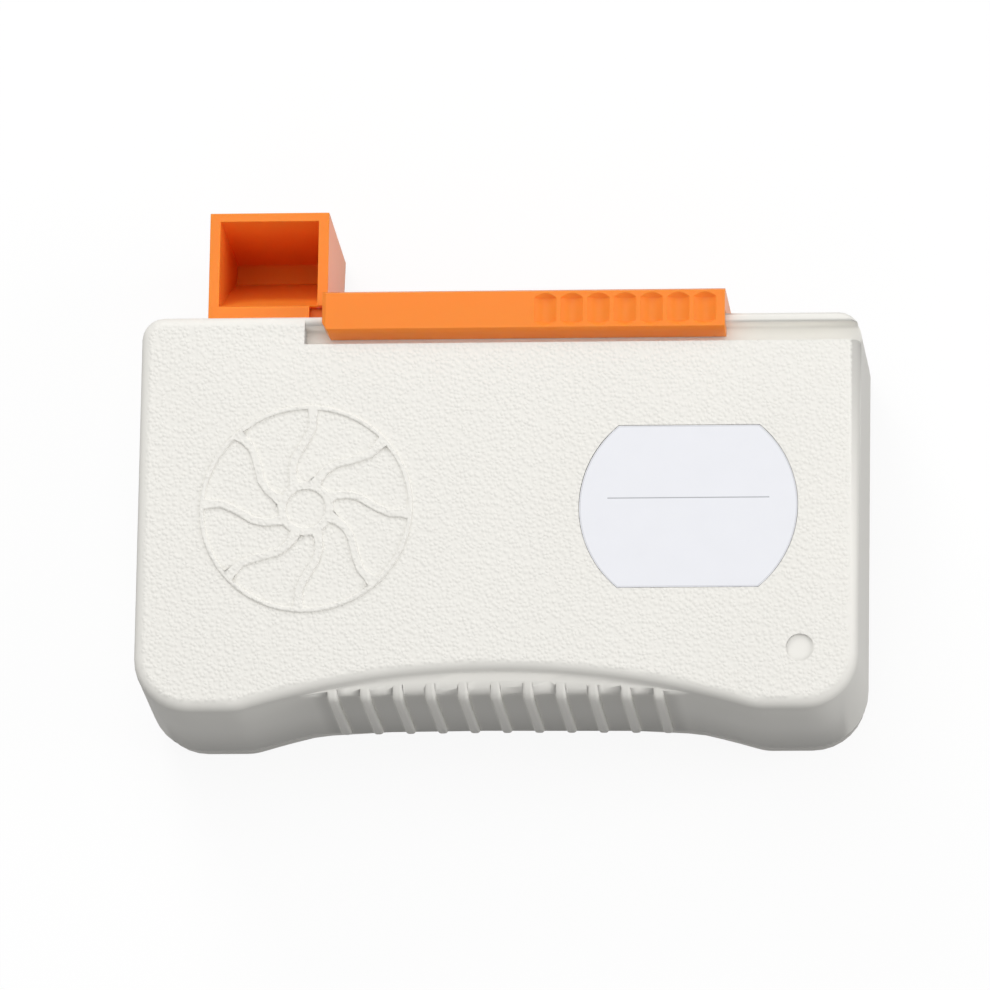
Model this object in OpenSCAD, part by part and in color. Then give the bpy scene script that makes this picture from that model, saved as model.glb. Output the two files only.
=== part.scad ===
// Reel cassette for wiping optical plugs: a two-part housing with a thumb slider and a shutter
// hood on its top edge. The slider's rack turns a gear train that winds a cleaning tape from
// the supply reel, over a padded window, to the take-up reel.
// The housing lies on its back: X along its length, Y towards the slider edge, Z out of the face.
// The origin is the centre of the flat back.

/* [Housing] */
// Length of the housing
body_l = 130; // [126:1:140]
// Height of the housing, from the lower lobes to the top edge
body_h = 73.4; // [72:0.2:80]
// Thickness of the housing, from back to face
body_t = 35; // [34:0.5:40]
// Height of the joint between front shell and back cover
seam_z = 5.4; // [5:0.1:5.6]
// Wall of the front shell
wall = 2.2; // [1.8:0.1:2.6]
// Floor of the back cover
floor_t = 2; // [1.6:0.1:2.2]
// Widening of the housing from its face to the joint, on each side
draft = 0.3; // [0:0.1:0.6]
// Fillet along the edge of the face
edge_r = 2.2; // [1.2:0.1:2.6]
// Radius of the two lower corners
low_corner_r = 10; // [5:0.5:12]
// Radius of the two upper corners
top_corner_r = 4; // [3:0.5:6]
// Rise of the finger arch above the lobes, at the face
arch_rise = 7.1; // [5:0.1:8]
// Radius of the finger arch
arch_r = 155; // [130:1:200]
// Radius that blends the arch into a lobe
lobe_r = 10; // [6:0.5:16]
// Inward taper of the back cover's side
cover_taper = 0.4; // [0:0.1:1.2]

/* [Finger grip] */
// Rise of the padded grip above the lobes
grip_rise = 3.2; // [3:0.1:4.5]
// Height of the rounded shoulder under the lip
shoulder_h = 2.6; // [1.5:0.1:4]
// Number of finger ribs
rib_count = 11; // [3:2:11]
// Spacing of the finger ribs
rib_pitch = 5.85; // [5:0.01:6]
// Width of a finger rib
rib_w = 1.9; // [1:0.1:2.4]
// Height of a finger rib above the grip
rib_h = 1; // [0.5:0.1:1.4]

/* [Face] */
// Height of the raised wheel above the face
relief_h = 0.35; // [0.2:0.05:0.6]
// Outer radius of the raised wheel
wheel_r = 19.3; // [16:0.1:21]
// Number of curved spokes
spoke_count = 8; // [5:1:10]
// Width of a curved spoke
spoke_w = 1.5; // [1:0.1:2]
// Radius of the label
label_r = 19.6; // [16:0.1:21]
// Half height of the label between its flat edges
label_flat = 15; // [10:0.5:16]
// Depth of the label's pocket
pocket_d = 0.35; // [0.3:0.05:0.6]
// Thickness of the label
label_t = 0.25; // [0.1:0.05:0.3]
// Radius of the round dimple
dimple_r = 2.5; // [1.5:0.1:3.5]
// Depth of the round dimple
dimple_d = 0.5; // [0.2:0.1:0.8]

/* [Slider rail] */
// Height of the rail along the top edge
rail_h = 2; // [1.6:0.1:2.2]
// Set-back of the rail's front from the face
rail_set = 0.6; // [0.4:0.1:1]
// Width of the groove under the rail
groove_w = 3.6; // [3.2:0.1:4]
// Depth of the groove
groove_d = 4; // [3.5:0.1:4.5]
// Distance of the groove's closed end from the housing's left end
groove_in = 29.7; // [28:0.1:31]

/* [Slider] */
// Length of the slider
slider_l = 72.8; // [70:0.1:74]
// Distance of the slider's left end from the housing's left end, at rest
slider_in = 32.9; // [32:0.1:33.5]
// Travel of the slider
travel = 23.5; // [20:0.5:23.5]
// Height of the slider above the top edge
slider_rise = 4; // [3.8:0.1:5]
// Amount that the slider's face stands proud of the housing's face
slider_proud = 1.5; // [1.2:0.1:2]
// Bevel along the slider's edges
slider_bevel = 1; // [0.5:0.1:1.2]
// Number of thumb scoops
scoop_count = 7; // [3:1:7]
// Spacing of the thumb scoops
scoop_pitch = 4.8; // [4.4:0.1:5]
// Width of a thumb scoop
scoop_w = 4.1; // [3:0.1:4.3]
// Depth of a thumb scoop
scoop_d = 0.9; // [0.5:0.1:1]

/* [Hood] */
// Width of the hood
hood_w = 21.7; // [20:0.1:23]
// Height of the hood above the top edge
hood_h = 20.6; // [18:0.1:24]
// Depth of the hood
hood_d = 29.4; // [27:0.1:29.8]
// Distance of the hood's front behind the face
hood_set = 4.6; // [4.4:0.1:6]
// Side wall of the hood
hood_wall = 1.9; // [1.2:0.1:2.2]
// Thickness of the hood's top plate at its front
hood_plate = 1.6; // [1.2:0.1:2]
// Fall of the hood's top plate towards the back
hood_fall = 0.8; // [0:0.1:1]
// Height of the upright back inside the hood
hood_back_h = 4.1; // [3:0.1:6]
// Height of the lip at the hood's front above the top edge
hood_lip_h = 2.9; // [2.6:0.1:4]
// Thickness of the shutter plate under the hood
shutter_t = 1.1; // [0.8:0.1:1.2]

/* [Cleaning window] */
// Distance of the window's middle from the housing's left end
window_in = 22.4; // [22:0.1:23]
// Length of the two wiping slots
slot_l = 14.6; // [12:0.1:15]
// Width of a wiping slot
slot_w = 4.8; // [4.6:0.1:4.9]
// Bar between the two slots
slot_bar = 2.4; // [2:0.1:2.6]
// Depth of the tape below the top edge
tape_drop = 4.4; // [4.3:0.1:4.6]
// Thickness of the pad under the tape
pad_t = 1.8; // [1:0.1:2]

/* [Reels] */
// Distance of each reel's axle from its end of the housing
reel_in = 30.6; // [30:0.1:31]
// Height of the reel axles above the middle of the reels' room
reel_rise = 0.1; // [0:0.05:0.5]
// Gap between the reels and the walls of their room
reel_gap = 1.65; // [1.2:0.05:3.5]
// Thickness of a reel flange
flange_t = 1; // [0.8:0.1:1.2]
// Radius of the reel hubs
hub_r = 8.5; // [7:0.5:10]
// Height of the flanges' rim above the roll of fresh tape
roll_in = 2.5; // [1.5:0.5:10]
// Radius of the roll of used tape
used_r = 13; // [10:0.5:14]
// Width of the tape
tape_w = 14.4; // [14:0.1:14.6]
// Thickness of the tape run
tape_t = 0.2; // [0.1:0.05:0.3]
// Radius of the two reel axles
axle_r = 1.5; // [1.2:0.1:2]

/* [Gear train] */
// Module of the gear teeth
gear_m = 1; // [0.9:0.05:1]
// Teeth of the pinion
pinion_teeth = 14; // [13:1:16]
// Teeth of the drive gear
drive_teeth = 42; // [40:1:44]
// Thickness of the gears
gear_t = 3; // [2.4:0.1:3.2]
// Play between two gear flanks
backlash = 0.24; // [0.1:0.02:0.4]
// Teeth of the ratchet wheel
ratchet_teeth = 24; // [12:1:36]
// Outer radius of the ratchet wheel
ratchet_r = 11.5; // [10:0.5:12]
// Turns of the spiral return spring
spring_turns = 5; // [3:1:7]
// Thickness of the spring strip
spring_t = 0.5; // [0.3:0.1:0.7]

/* [Clearances] */
// Gap under and round the parts that slide
run_gap = 0.2; // [0.1:0.05:0.25]
// Gap of a shaft in its hole
shaft_gap = 0.05; // [0.02:0.01:0.1]
// Gap between pieces that are fitted together
seat_gap = 0.1; // [0.05:0.05:0.15]
// Axial gap between moving pieces
side_gap = 0.3; // [0.2:0.05:0.35]

/* [Hidden] */

// Overrun of every cut past the surface that it opens
cut = 1;
// Depth to which joined forms reach into each other
weld = 0.4;
// Steps on an arc, in degrees
arc_step = 11.25;
// Stations along the finger arch
arch_steps = 28;

top_y = body_h / 2;
low_y = -body_h / 2;
inner_z = body_t - wall;

// Layers inside the housing, from the back to the face
spring_z = floor_t + side_gap + seat_gap;
spring_h = 3.3;
gear_z = spring_z + spring_h + 3 * side_gap;
pawl_z = gear_z + gear_t + side_gap;
pawl_t = 1.7;
reel_z = pawl_z + pawl_t + side_gap;
tape_z = reel_z + flange_t + side_gap;
flange_z = tape_z + tape_w + side_gap;
reel_end = flange_z + flange_t;
tape_mid = tape_z + tape_w / 2;

// Heights of the rail and groove
rail_y = top_y - rail_h;
groove_y = rail_y - groove_w;
rail_z = body_t - rail_set;
groove_z = body_t - groove_d;
backing_y = groove_y - wall;
backing_z = groove_z - wall;

// Slider and hood
groove_end = body_l / 2 - groove_in;
slider_x0 = slider_in - body_l / 2;
slider_x1 = slider_x0 + slider_l;
slider_z = body_t + slider_proud;
slider_top = top_y + slider_rise;
// Distance of the skirt's lower edge below the rail
skirt_drop = 1.8;
skirt_y = rail_y - skirt_drop;
// Overlap of the slider's end over the hood's edge
hood_lap = 0.35;
hood_x1 = slider_x0 + hood_lap;
hood_x0 = hood_x1 - hood_w;
hood_z1 = body_t - hood_set;
hood_z0 = hood_z1 - hood_d;
shutter_y = top_y + run_gap;

// Tab that joins the slider to the rack inside, and its distance from the slider's left end
tab_in = 28.1;
tab_x0 = slider_x0 + tab_in;
tab_l = 10;
tab_z0 = gear_z + seat_gap;
tab_z1 = gear_z + gear_t - seat_gap;
tab_y = top_y - wall - seat_gap;

// Tape's level, the upper and lower face of the shelf that carries its pad, and the reels' room
// between that shelf and the arch's wall
tape_y = top_y - tape_drop;
carrier_t = 2.4;
shelf_y = tape_y - pad_t - 2 * seat_gap;
carrier_y = shelf_y - carrier_t;
room_low = low_y + arch_rise + wall;
window_x = body_l / 2 - window_in;
reel_x = body_l / 2 - reel_in;
reel_y = (carrier_y + room_low) / 2 + reel_rise;
flange_r = min((carrier_y - room_low) / 2, reel_in - wall, reel_x) - reel_gap;
fresh_r = flange_r - roll_in;

// Gear train
pinion_r = gear_m * pinion_teeth / 2;
drive_r = gear_m * drive_teeth / 2;
pressure_angle = 20;
// Shares of the module in the height of a tooth above and below its pitch line
addendum_share = 0.9;
dedendum_share = 1.15;
rack_top = tab_y;
// Least thickness of the rack's bar above its teeth
rack_bar = 2.3;
// Share of the two gears' centre distance that the pinion may stand above the drive gear
climb_share = 0.9;
rack_pitch_y = min(rack_top - rack_bar - dedendum_share * gear_m,
                   reel_y + pinion_r + climb_share * (pinion_r + drive_r));
rack_low = rack_pitch_y + dedendum_share * gear_m;
pinion_y = rack_pitch_y - pinion_r;
pinion_x = -reel_x + sqrt(pow(pinion_r + drive_r, 2) - pow(pinion_y - reel_y, 2));
pinion_axle_r = 1.2;
mesh_angle = atan2(pinion_y - reel_y, pinion_x + reel_x);
pinion_tooth = 360 / pinion_teeth;
drive_tooth = 360 / drive_teeth;
drive_phase = mesh_angle + ((mesh_angle + 90) / pinion_tooth + 0.5) * drive_tooth;

// Guides of the tape
guide_r = 1.5;
pad_corner_r = 0.6;
// Distance from the window's middle to each guide pin, and of each pin below the tape's level
guide_x = [-12.2, 13.6];
guide_drop = [1.1, 0.4];
guide_y = [for (d = guide_drop) tape_y - guide_r - d];
// Level of the wall that holds the end of each guide pin
guide_top = [inner_z, backing_z];
pad_l = 16.4;

// Screws that hold the cover, and their distance from the ends, the upper corner and the lower edge
screw_end = 8;
screw_corner = 5.2;
screw_low = 8.6;
screw_x = body_l / 2 - screw_end;
screw_at = [[-body_l / 2 + screw_corner, top_y - screw_corner], [screw_x, top_y - screw_end],
            [-screw_x, low_y + screw_low], [screw_x, low_y + screw_low]];
screw_r = 1.25;
screw_head_r = 2.3;
screw_head_t = 1.6;
screw_l = 11;
boss_r = 3;

// Points on an arc round c from angle a to angle b
function arc(c, r, a, b, n) =
    [for (i = [0:n]) c + r * [cos(a + (b - a) * i / n), sin(a + (b - a) * i / n)]];

// Centre of the finger arch and of the arcs that blend it into the lobes
arch_cy = low_y + arch_rise - arch_r;
lobe_cy = low_y + lobe_r;
lobe_cx = sqrt(pow(arch_r + lobe_r, 2) - pow(lobe_cy - arch_cy, 2));
lobe_turn = asin(lobe_cx / (arch_r + lobe_r));

// Height of the finger arch at x, at the face
function arch_y(x) = arch_cy + sqrt(arch_r * arch_r - x * x);

// Point of the outline's arch once the grip fills a share of it
function filled(p, inset, fill_share) =
    [p[0], p[1] - fill_share * fill_most_share * max(0, p[1] - (low_y + grip_rise + inset))];

// Share of the arch above the grip that a full grip fills
fill_most_share = 0.93;

// Outline of the housing, drawn in by inset, with the grip filled by a share. The top edge, on
// which the slider runs, never grows past its line
function outline(inset, fill_share) =
    let (hx = body_l / 2, kl = round(90 / arc_step), kt = round(60 / arc_step),
         cl = low_corner_r, ct = top_corner_r)
    concat(
        arc([-hx + cl, low_y + cl], cl - inset, 180, 270, kl),
        arc([-lobe_cx, lobe_cy], lobe_r - inset, -90, lobe_turn - 90, 3),
        [for (i = [1:arch_steps - 1])
            let (a = 90 + lobe_turn * (1 - 2 * i / arch_steps))
            filled([0, arch_cy] + (arch_r + inset) * [cos(a), sin(a)], inset, fill_share)],
        arc([lobe_cx, lobe_cy], lobe_r - inset, -90 - lobe_turn, -90, 3),
        arc([hx - cl, low_y + cl], cl - inset, -90, 0, kl),
        arc([hx - ct, top_y - ct + min(inset, 0)], ct - inset, 0, 90, kt),
        arc([-hx + ct, top_y - ct + min(inset, 0)], ct - inset, 90, 180, kt));

// Solid through a stack of levels, each [height, inset, share of the grip's fill], closed at both
// ends by a fan round the middle
module stack(levels) {
    rings = [for (l = levels) [for (p = outline(l[1], l[2])) [p[0], p[1], l[0]]]];
    n = len(rings[0]);
    m = len(rings);
    top = n * (m - 1);
    polyhedron(
        points = concat([for (ring = rings) each ring],
                        [[0, 0, levels[0][0]], [0, 0, levels[m - 1][0]]]),
        faces = concat(
            [for (i = [0:n - 1]) [n * m, i, (i + 1) % n]],
            [for (i = [0:n - 1]) [n * m + 1, top + (i + 1) % n, top + i]],
            [for (j = [0:m - 2]) for (i = [0:n - 1]) each
                let (a = j * n + i, b = j * n + (i + 1) % n)
                [[a, a + n, b + n], [a, b + n, b]]]));
}

// Prism of the housing's outline, drawn in by inset
module slab(inset, z0, z1, fill_share) {
    translate([0, 0, z0])
        linear_extrude(z1 - z0) polygon(outline(inset, fill_share));
}

// Extrusion along X of a profile whose points are [y, z]
module along_x(x0, x1) {
    translate([x0, 0, 0]) rotate([90, 0, 90]) linear_extrude(x1 - x0) children();
}

// Box between two corners
module box(a, b) {
    translate(a) cube(b - a);
}

// Cylinder along Z between two heights
module rod(x, y, r, z0, z1) {
    translate([x, y, z0]) cylinder(r = r, h = z1 - z0, $fn = 48);
}

// Ring along Z between two heights
module tube(x, y, r, bore, z0, z1) {
    difference() {
        rod(x, y, r, z0, z1);
        rod(x, y, bore, z0 - cut, z1 + cut);
    }
}

// Front shell
lip_z = body_t - edge_r;
shoulder_z = lip_z - shoulder_h;
// Embed of the pins in the face wall
pin_seat = 0.9;
// Distance of the dimple from the right end and from the lower edge
dimple_in = [10.4, 10.8];
// Opening in the top wall that holds the window frame, with its rim round the slots
frame_rim = [1.5, 1];
frame_l = slot_l + 2 * frame_rim[0];
frame_h = 2 * slot_w + slot_bar + 2 * frame_rim[1];
frame_x0 = -window_x - frame_l / 2;
frame_z0 = tape_mid - frame_h / 2;

module shell_skin() {
    steps = 4;
    shoulder = [for (i = [0:steps]) let (a = 90 * i / steps)
        [shoulder_z + shoulder_h * sin(a), 0, cos(a)]];
    fillet = [for (i = [0:steps]) let (a = 90 * i / steps)
        [lip_z + edge_r * sin(a), edge_r * (1 - cos(a)), 0]];
    stack(concat([[seam_z, -draft, 1]], shoulder, [for (i = [1:steps]) fillet[i]]));
}

module finger_rib(x) {
    steps = 4;
    y = filled([x, arch_y(x)], 0, 1)[1];
    drop = arch_y(x) - y + rib_h;
    top = lip_z - seat_gap;
    end = seam_z + seat_gap;
    root_y = arch_y(x) + wall / 2;
    along_x(x - rib_w / 2, x + rib_w / 2)
        polygon(concat(
            [[root_y, end], [root_y, top]],
            [for (i = [0:steps]) let (a = 90 * i / steps)
                [arch_y(x) - drop * sin(a), shoulder_z + (top - shoulder_z) * cos(a)]],
            [[y - rib_h, end + rib_h], [y - rib_h / 2, end]]));
}

// Raised wheel on the face: two rings joined by curved spokes
module face_wheel() {
    ring_w = 0.9;
    eye_r = 4.3;
    eye_w = 1.6;
    z0 = body_t - weld;
    z1 = body_t + relief_h;
    translate([-reel_x, reel_y, 0]) {
        tube(0, 0, wheel_r, wheel_r - ring_w, z0, z1);
        tube(0, 0, eye_r + eye_w / 2, eye_r - eye_w / 2, z0, z1);
        for (i = [0:spoke_count - 1])
            rotate(360 * i / spoke_count) spoke(eye_r, wheel_r - ring_w / 2, z0, z1);
    }
}

// One curved spoke between two radii, swung by a share of its length
module spoke(r0, r1, z0, z1) {
    stations = 8;
    // Swing in degrees at shares of the way out
    swing = [[0, 27], [0.3, 17], [0.55, 1], [0.75, -3.6], [1, -3]];
    // Widening of the spoke towards both ends
    flare_share = 0.5;
    line = [for (i = [0:stations]) let (t = i / stations, r = r0 + (r1 - r0) * t)
        r * [cos(lookup(t, swing)), sin(lookup(t, swing))]];
    flare = [for (i = [0:stations]) let (t = i / stations)
        spoke_w / 2 * (1 + flare_share * pow(2 * t - 1, 6))];
    side = [for (i = [0:stations])
        let (d = line[min(i + 1, stations)] - line[max(i - 1, 0)]) [-d[1], d[0]] / norm(d)];
    translate([0, 0, z0]) linear_extrude(z1 - z0)
        polygon(concat(
            [for (i = [0:stations]) line[i] - flare[i] * side[i]],
            [for (i = [stations:-1:0]) line[i] + flare[i] * side[i]]));
}

// Shape of the label, grown by a margin
module label_shape(margin, z0, z1) {
    intersection() {
        rod(reel_x, reel_y, label_r + margin, z0, z1);
        box([reel_x - label_r - cut, reel_y - label_flat - margin, z0 - cut],
            [reel_x + label_r + cut, reel_y + label_flat + margin, z1 + cut]);
    }
}

module front_shell() {
    color("ivory") difference() {
        union() {
            difference() {
                shell_skin();
                difference() {
                    slab(wall, seam_z - cut, inner_z, 0);
                    box([-groove_end - wall, backing_y, backing_z], [body_l / 2, top_y, body_t]);
                }
            }
            for (i = [0:rib_count - 1]) finger_rib(rib_pitch * (i - (rib_count - 1) / 2));
            face_wheel();
            for (p = screw_at) rod(p[0], p[1], boss_r, seam_z + seat_gap, inner_z + weld);
            for (s = [-1, 1])
                rod(s * reel_x, reel_y, 2 * axle_r + wall / 2, reel_end + side_gap, inner_z + weld);
        }
        box([-groove_end, groove_y, groove_z], [body_l / 2 + cut, rail_y, body_t + cut]);
        box([-groove_end, rail_y - cut, rail_z], [body_l / 2 + cut, top_y + cut, body_t + cut]);
        box([frame_x0 - seat_gap, top_y - wall - cut, frame_z0 - seat_gap],
            [frame_x0 + frame_l + seat_gap, top_y + cut, frame_z0 + frame_h + seat_gap]);
        box([tab_x0 - side_gap, top_y - wall - cut, seam_z - cut],
            [tab_x0 + tab_l + travel + side_gap, top_y + cut, tab_z1 + run_gap]);
        label_shape(seat_gap, body_t - pocket_d, body_t + cut);
        rod(body_l / 2 - dimple_in[0], low_y + dimple_in[1], dimple_r, body_t - dimple_d, body_t + cut);
        for (p = screw_at) rod(p[0], p[1], screw_r + shaft_gap, seam_z - cut, screw_l + cut);
        for (s = [-1, 1])
            rod(s * reel_x, reel_y, axle_r + shaft_gap, reel_end - cut, inner_z);
        for (i = [0, 1])
            rod(guide_x[i] - window_x, guide_y[i], guide_r + shaft_gap, guide_top[i] - cut,
                guide_top[i] + pin_seat);
    }
}

// Back cover
module back_cover() {
    lip_t = 1.1;
    lip_h = 1;
    post_r = 3.4;
    // Bevel round the back's edge
    bevel = 0.4;
    // Share of the grip's padding that the cover follows
    grip_share = 0.75;
    color("ivory") difference() {
        union() {
            difference() {
                stack([[0, cover_taper + bevel, grip_share],
                    [bevel / 2, cover_taper, grip_share], [seam_z, 0, grip_share]]);
                slab(wall, floor_t, seam_z + cut, 0);
            }
            difference() {
                slab(wall + seat_gap, floor_t - weld, seam_z + lip_h, 0);
                slab(wall + seat_gap + lip_t, floor_t - cut, seam_z + lip_h + cut, 0);
                for (p = screw_at) rod(p[0], p[1], boss_r + seat_gap, seam_z, seam_z + lip_h + cut);
            }
            for (p = screw_at) rod(p[0], p[1], boss_r + seat_gap, floor_t - weld, seam_z);
            rod(pinion_x, pinion_y, post_r, floor_t - weld, gear_z - side_gap);
            rod(reel_x, reel_y, post_r + wall, floor_t - weld, reel_z - brake_t - 2 * seat_gap);
            spring_anchor();
            leaf_anchor();
        }
        for (p = screw_at) {
            rod(p[0], p[1], screw_head_r + run_gap, -cut, floor_t + seat_gap);
            rod(p[0], p[1], screw_r + shaft_gap, -cut, seam_z + cut);
        }
        rod(pinion_x, pinion_y, pinion_axle_r + shaft_gap, floor_t / 2, gear_z);
        rod(-reel_x, reel_y, axle_r + shaft_gap, floor_t / 2, floor_t + cut);
        rod(reel_x, reel_y, axle_r + shaft_gap, floor_t / 2, reel_z);
    }
}

// Label
module label_plate() {
    // Film of glue under the label
    glue_t = 0.02;
    z0 = body_t - pocket_d + glue_t;
    color("aliceblue") label_shape(0, z0, z0 + label_t);
}

// Cleaning window and tape path
frame_flange = 1;

module window_frame() {
    y0 = top_y - wall - seat_gap;
    color("whitesmoke") difference() {
        union() {
            box([frame_x0, y0 - frame_flange, frame_z0],
                [frame_x0 + frame_l, top_y - seat_gap, frame_z0 + frame_h]);
            box([frame_x0 - frame_flange, y0 - frame_flange, frame_z0 - frame_flange / 2],
                [frame_x0 + frame_l + frame_flange, y0, frame_z0 + frame_h + frame_flange / 2]);
        }
        for (s = [-1, 1]) wiping_slot(tape_mid + s * (slot_bar + slot_w) / 2);
    }
}

// Slot through the window frame, with its middle at height z
module wiping_slot(z) {
    box([-window_x - slot_l / 2, top_y - 2 * wall, z - slot_w / 2],
        [-window_x + slot_l / 2, top_y + cut, z + slot_w / 2]);
}

module cleaning_pad() {
    color("dimgray") pad_block(pad_t, 0, tape_z, tape_z + tape_w);
}

// Block with rounded upper edges under the tape
module pad_block(t, drop, z0, z1) {
    y = tape_y - seat_gap - drop;
    translate([0, 0, z0]) linear_extrude(z1 - z0)
        polygon(concat(
            [[-window_x - pad_l / 2, y - t], [-window_x + pad_l / 2, y - t]],
            arc([-window_x + pad_l / 2 - pad_corner_r, y - pad_corner_r], pad_corner_r, 0, 90, 4),
            arc([-window_x - pad_l / 2 + pad_corner_r, y - pad_corner_r], pad_corner_r, 90, 180, 4)));
}

// Shelf on the face wall that carries the pad, set back where the groove's wall comes down
module pad_carrier() {
    x0 = -window_x - pad_l / 2 - frame_flange / 2;
    x1 = -window_x + pad_l / 2 + frame_flange / 2;
    color("lightgray") difference() {
        union() {
            box([x0, carrier_y, tape_z - wall], [x1, shelf_y, backing_z - seat_gap]);
            box([x0, carrier_y, backing_z - cut],
                [-groove_end - wall - seat_gap, shelf_y, inner_z - seat_gap]);
        }
        box([-window_x - pad_l / 2 + wall, carrier_y - cut, tape_z + wall / 2],
            [-window_x + pad_l / 2 - wall, shelf_y - wall / 2, tape_z + tape_w - wall / 2]);
    }
}

// Direction from a circle's centre to the tape that leaves it for the next circle
function leave(c1, r1, c2, r2) =
    atan2(c2[1] - c1[1], c2[0] - c1[0]) - acos((r1 - r2) / norm(c2 - c1));

// The round things that the tape passes, from the supply roll to the take-up roll: [centre, radius]
tape_over = [
    [[reel_x, reel_y], fresh_r],
    [[guide_x[1] - window_x, guide_y[1]], guide_r],
    [[-window_x + pad_l / 2 - pad_corner_r, tape_y - seat_gap - pad_corner_r], pad_corner_r],
    [[-window_x - pad_l / 2 + pad_corner_r, tape_y - seat_gap - pad_corner_r], pad_corner_r],
    [[guide_x[0] - window_x, guide_y[0]], guide_r],
    [[-reel_x, reel_y], used_r]];

// Tape's edge at a distance outside the things that it passes
function tape_line(gap) =
    let (n = len(tape_over) - 1,
         c = [for (o = tape_over) o[0]],
         r = [for (o = tape_over) o[1] + gap],
         dir = [for (i = [0:n - 1]) leave(c[i], r[i], c[i + 1], r[i + 1])])
    concat(
        [c[0] + r[0] * [cos(dir[0]), sin(dir[0])]],
        [for (i = [1:n - 1]) each arc(c[i], r[i], dir[i - 1], turned(dir[i - 1], dir[i]), 5)],
        [c[n] + r[n] * [cos(dir[n - 1]), sin(dir[n - 1])]]);

// The angle b, taken within half a turn of a
function turned(a, b) = b + 360 * round((a - b) / 360);

module cleaning_tape() {
    inner = tape_line(seat_gap);
    outer = tape_line(seat_gap + tape_t);
    color("white") translate([0, 0, tape_z]) linear_extrude(tape_w)
        polygon(concat(inner, [for (i = [len(outer) - 1:-1:0]) outer[i]]));
}

module guide_pins() {
    color("silver") for (i = [0, 1])
        rod(guide_x[i] - window_x, guide_y[i], guide_r, tape_z - wall,
            guide_top[i] + pin_seat - seat_gap);
}

// Axles
module takeup_axle() {
    color("silver") rod(-reel_x, reel_y, axle_r, floor_t / 2 + seat_gap, inner_z - seat_gap);
}

module supply_axle() {
    color("silver") rod(reel_x, reel_y, axle_r, floor_t / 2 + seat_gap, inner_z - seat_gap);
}

module pinion_axle() {
    color("silver")
        rod(pinion_x, pinion_y, pinion_axle_r, floor_t / 2 + seat_gap, gear_z + gear_t + side_gap);
}

// Screws that hold the back cover
module case_screws() {
    recess_r = 0.9;
    color("dimgray") for (p = screw_at) difference() {
        union() {
            rod(p[0], p[1], screw_head_r, floor_t - screw_head_t, floor_t);
            rod(p[0], p[1], screw_r, floor_t - weld, screw_l);
        }
        rod(p[0], p[1], recess_r, floor_t - screw_head_t - cut, floor_t - screw_head_t / 2);
    }
}

// Spring leaf that keeps the take-up reel from turning back
leaf_post_r = 24.6;
leaf_post_angle = 214;
leaf_sweep = 62;
leaf_t = 0.6;
// Radius at which a leaf rests beside the ratchet's teeth
leaf_tip_r = ratchet_r + side_gap + leaf_t / 2;

// Point at a radius and an angle round the take-up axle
function at_takeup(r, a) = [-reel_x + r * cos(a), reel_y + r * sin(a)];

module leaf_anchor() {
    p = at_takeup(leaf_post_r, leaf_post_angle);
    rod(p[0], p[1], wall / 2, floor_t - weld, pawl_z + pawl_t - seat_gap);
}

// Bent finger from one radius and angle to another, round the take-up axle
module finger(r0, a0, r1, a1, t, z0, z1) {
    steps = 8;
    line = [for (i = [0:steps]) let (s = i / steps)
        at_takeup(r0 + (r1 - r0) * sin(90 * s), a0 + (a1 - a0) * s)];
    side = [for (i = [0:steps])
        let (d = line[min(i + 1, steps)] - line[max(i - 1, 0)]) [-d[1], d[0]] / norm(d)];
    translate([0, 0, z0]) linear_extrude(z1 - z0)
        polygon(concat(
            [for (i = [0:steps]) line[i] - t / 2 * side[i]],
            [for (i = [steps:-1:0]) line[i] + t / 2 * side[i]]));
}

module anti_reverse_spring() {
    p = at_takeup(leaf_post_r, leaf_post_angle);
    z0 = pawl_z + seat_gap;
    z1 = pawl_z + pawl_t - 2 * seat_gap;
    color("silver") difference() {
        union() {
            rod(p[0], p[1], wall / 2 + 2 * leaf_t, z0, z1);
            finger(leaf_post_r - wall / 2 - leaf_t, leaf_post_angle, leaf_tip_r,
                   leaf_post_angle + leaf_sweep, leaf_t, z0, z1);
        }
        rod(p[0], p[1], wall / 2 + shaft_gap, z0 - cut, z1 + cut);
    }
}

// Felt washer that brakes the supply reel
brake_t = 1;

module brake_washer() {
    z1 = reel_z - seat_gap;
    color("slategray") tube(reel_x, reel_y, hub_r - wall, axle_r + shaft_gap, z1 - brake_t, z1);
}

// Spiral spring round the drive gear's hub
spring_hub_r = 4.2;
spring_out_r = 14;
spring_end_angle = 300;

// Point on the spiral at a share of its length, moved out by a distance
function spiral(share, out) =
    let (r = spring_hub_r + side_gap + out + (spring_out_r - spring_hub_r) * share,
         a = spring_end_angle - 360 * spring_turns * (1 - share))
    [-reel_x + r * cos(a), reel_y + r * sin(a)];

module return_spring() {
    turn_steps = 24;
    n = turn_steps * spring_turns;
    color("silver") translate([0, 0, spring_z]) linear_extrude(spring_h - seat_gap)
        polygon(concat(
            [for (i = [0:n]) spiral(i / n, 0)],
            [for (i = [n:-1:0]) spiral(i / n, spring_t)]));
}

module spring_anchor() {
    p = spiral(1, spring_t + wall / 2 + side_gap);
    rod(p[0], p[1], wall / 2, floor_t - weld, spring_z + spring_h);
}

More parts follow.
